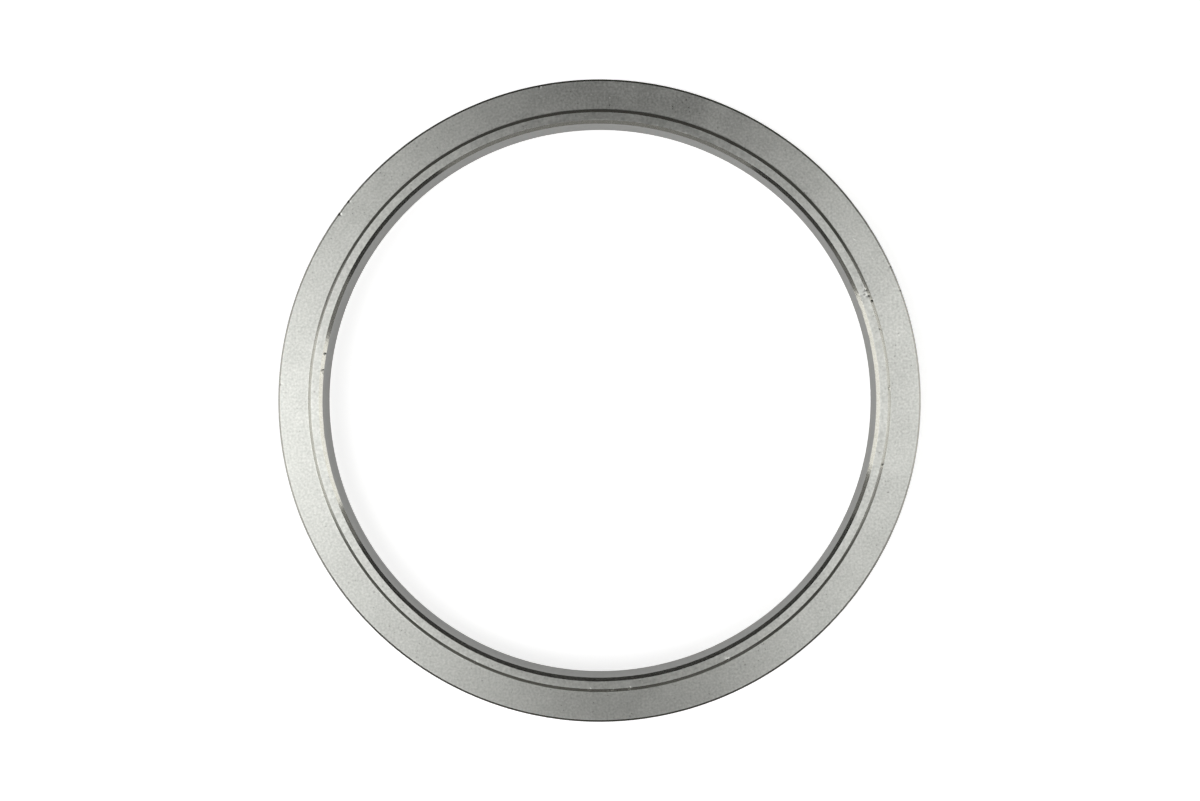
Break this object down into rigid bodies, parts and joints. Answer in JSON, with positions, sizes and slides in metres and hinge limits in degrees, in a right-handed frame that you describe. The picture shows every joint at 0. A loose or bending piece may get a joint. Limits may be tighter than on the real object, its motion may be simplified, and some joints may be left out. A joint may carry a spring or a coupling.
{
  "type": "v-band flange",
  "caption": "Flat turned ring flange for a V-band joint: raised register lip on its face, conical back for the clamp and a short hub that takes a welded tube.",
  "frame": {"origin": "on the ring's axis, in the plane of the hub's end face, on which it lies", "axes": "+Z along the ring's axis and out of the mating face; X to the right and Y up in the picture"},
  "size_m": [0.1182, 0.1182, 0.0127],
  "materials": {
    "turned_stainless": "fine turned satin, with small nicks and scratches"
  },
  "bodies": {
    "root": {"flange_ring": "turned_stainless"}
  },
  "joints": []
}
